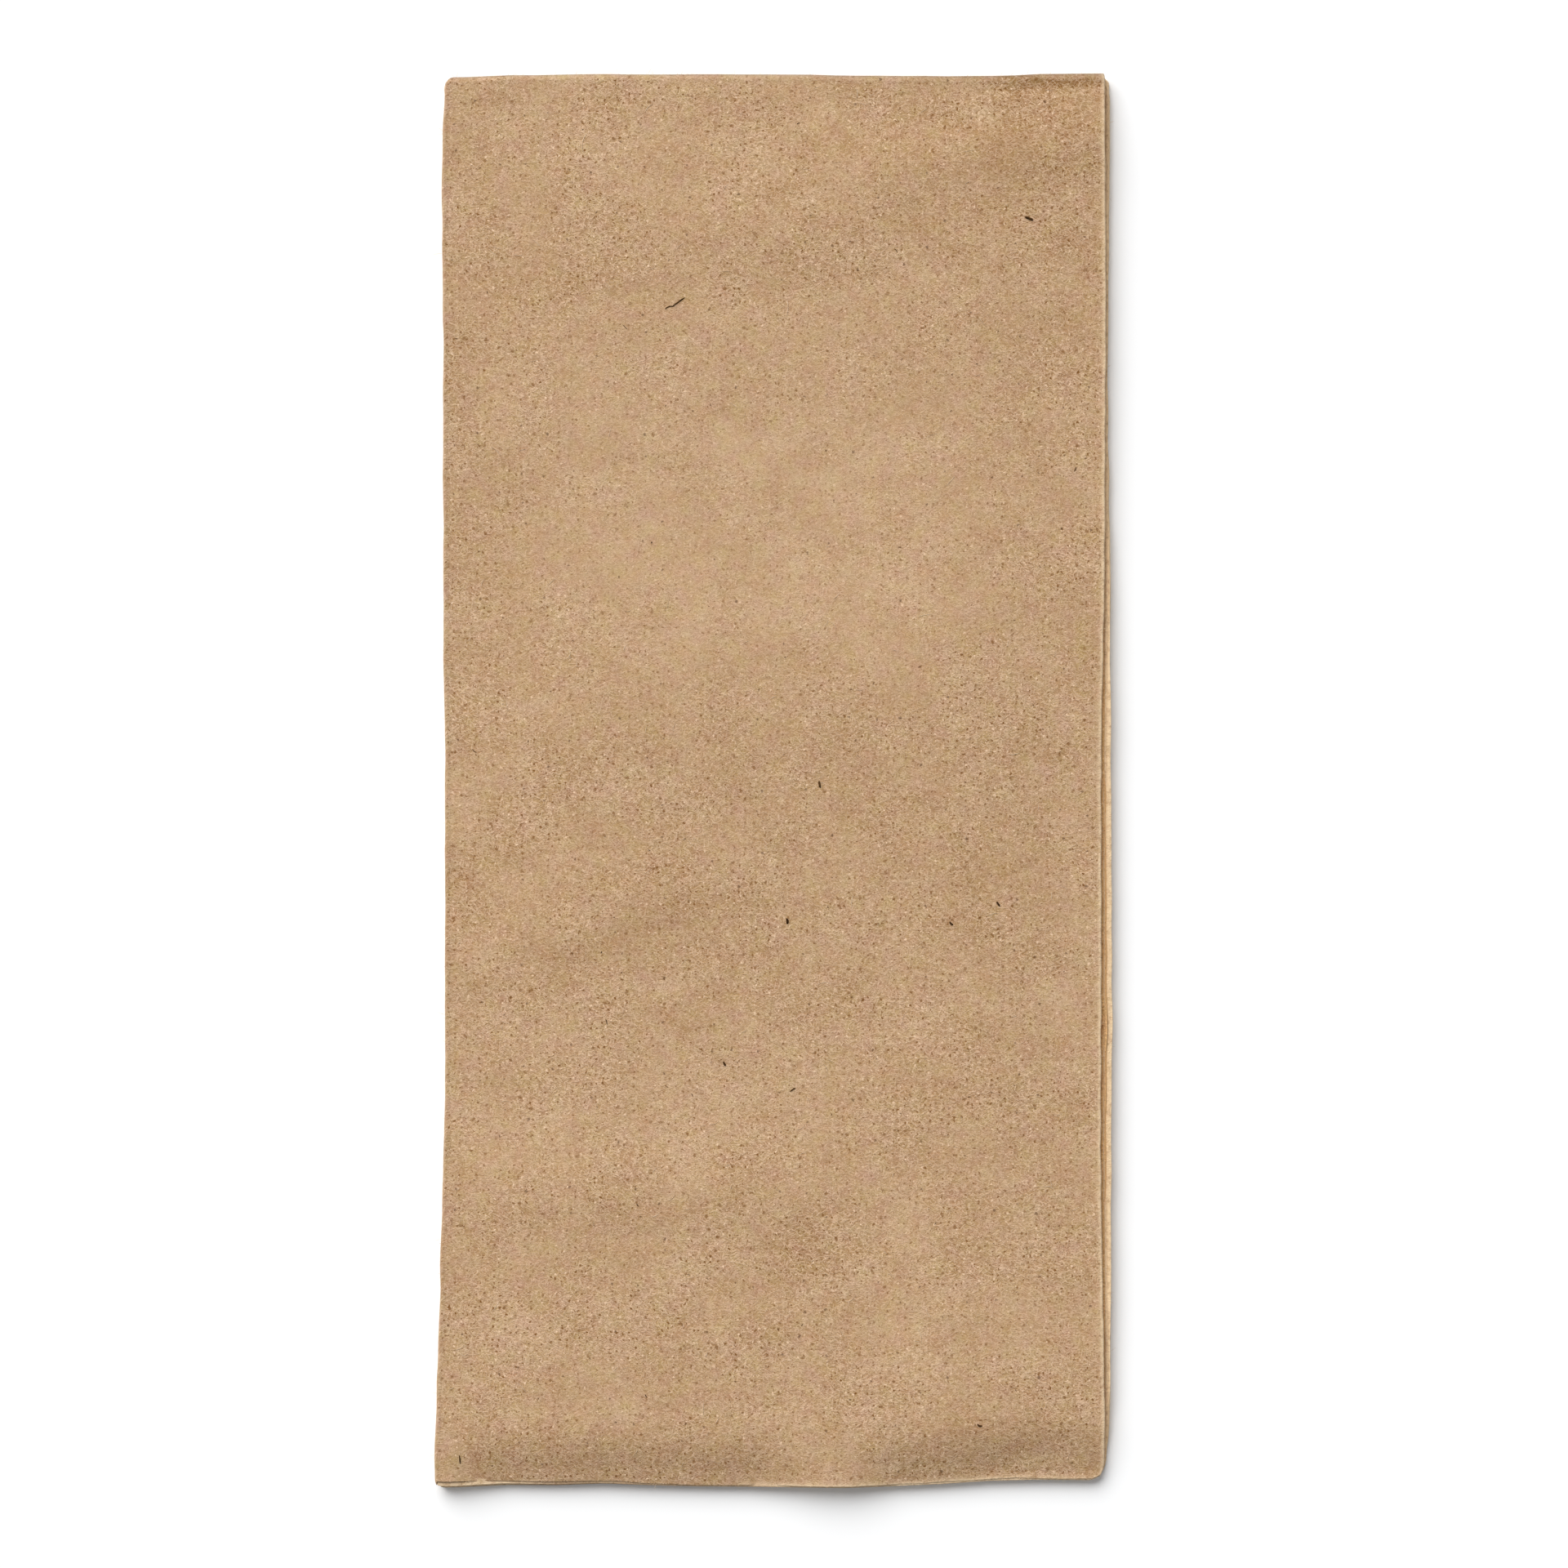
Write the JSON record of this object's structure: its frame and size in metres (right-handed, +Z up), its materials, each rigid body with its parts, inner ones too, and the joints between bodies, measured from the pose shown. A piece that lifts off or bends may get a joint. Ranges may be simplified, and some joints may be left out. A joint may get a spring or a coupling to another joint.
{
  "type": "paper napkin",
  "caption": "Flat rectangular dinner napkin: one kraft tissue sheet folded lengthwise and across into a slim pad, for wiping and place settings.",
  "frame": {"origin": "middle of the footprint, on the surface that the napkin lies on", "axes": "+X across the strip towards its first fold, +Y along it towards the cross fold, +Z up"},
  "size_m": [0.097, 0.2042, 0.002],
  "materials": {
    "kraft_tissue": "soft unbleached two-ply tissue, matt and fibrous, with fine dark specks"
  },
  "bodies": {
    "root": {"folded_napkin": "kraft_tissue"}
  },
  "joints": []
}
